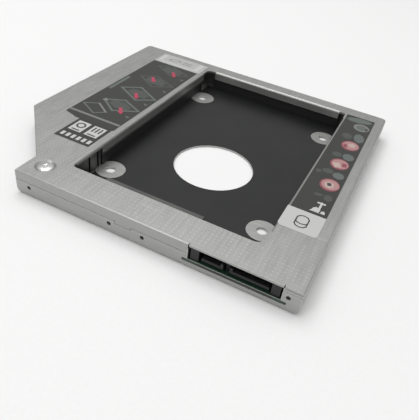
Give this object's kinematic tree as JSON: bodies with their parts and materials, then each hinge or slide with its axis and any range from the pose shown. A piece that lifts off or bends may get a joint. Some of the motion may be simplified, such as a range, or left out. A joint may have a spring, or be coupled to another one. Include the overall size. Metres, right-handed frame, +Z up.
{
  "type": "optical bay drive caddy",
  "caption": "Flat sheet-metal caddy with an open drive window, an inner drive socket and a rear slimline plug.",
  "frame": {"origin": "middle of the box's base, on the surface that the caddy rests on", "axes": "+X across the body to the right seen from the rear, +Y from the connector edge to the bezel edge, +Z up out of the window"},
  "size_m": [0.128, 0.1262, 0.0095],
  "materials": {
    "tray_sheet": "satin, as rolled",
    "cover_sheet": "satin, embossed all over with small dots",
    "black_film": "matt black polyester film",
    "board_green": "green solder mask",
    "turned_metal": "turned",
    "screw_steel": "bright plated",
    "chip_tan": "ceramic",
    "chip_black": "ceramic",
    "connector_black": "moulded, fine grain",
    "contact_gold": "gold plated",
    "connector_grey": "moulded, fine grain",
    "rail_black": "moulded",
    "bracket_metal": "dull",
    "label_dark": "printed label, satin"
  },
  "bodies": {
    "root": {"base_tray": "tray_sheet", "top_cover": "cover_sheet", "floor_film": "black_film", "adapter_board": "board_green", "board_standoffs": "turned_metal", "board_screws": "screw_steel", "board_capacitors": "chip_tan", "board_resistors": "chip_black", "host_plug_housing": "connector_black", "host_plug_power_contacts": "contact_gold", "host_plug_signal_contacts": "contact_gold", "drive_socket_housing": "connector_grey", "drive_socket_power_contacts": "contact_gold", "drive_socket_signal_contacts": "contact_gold", "left_guide_rail": "rail_black", "right_guide_rail": "rail_black", "front_stop_bar": "rail_black", "rear_corner_bracket": "bracket_metal", "rear_left_post": "turned_metal", "cover_screw_rear_left": "screw_steel", "cover_posts": "turned_metal", "cover_screws_bottom": "screw_steel", "instruction_label": "label_dark", "procedure_label": "label_dark", "symbol_patch": "label_dark"}
  },
  "joints": []
}
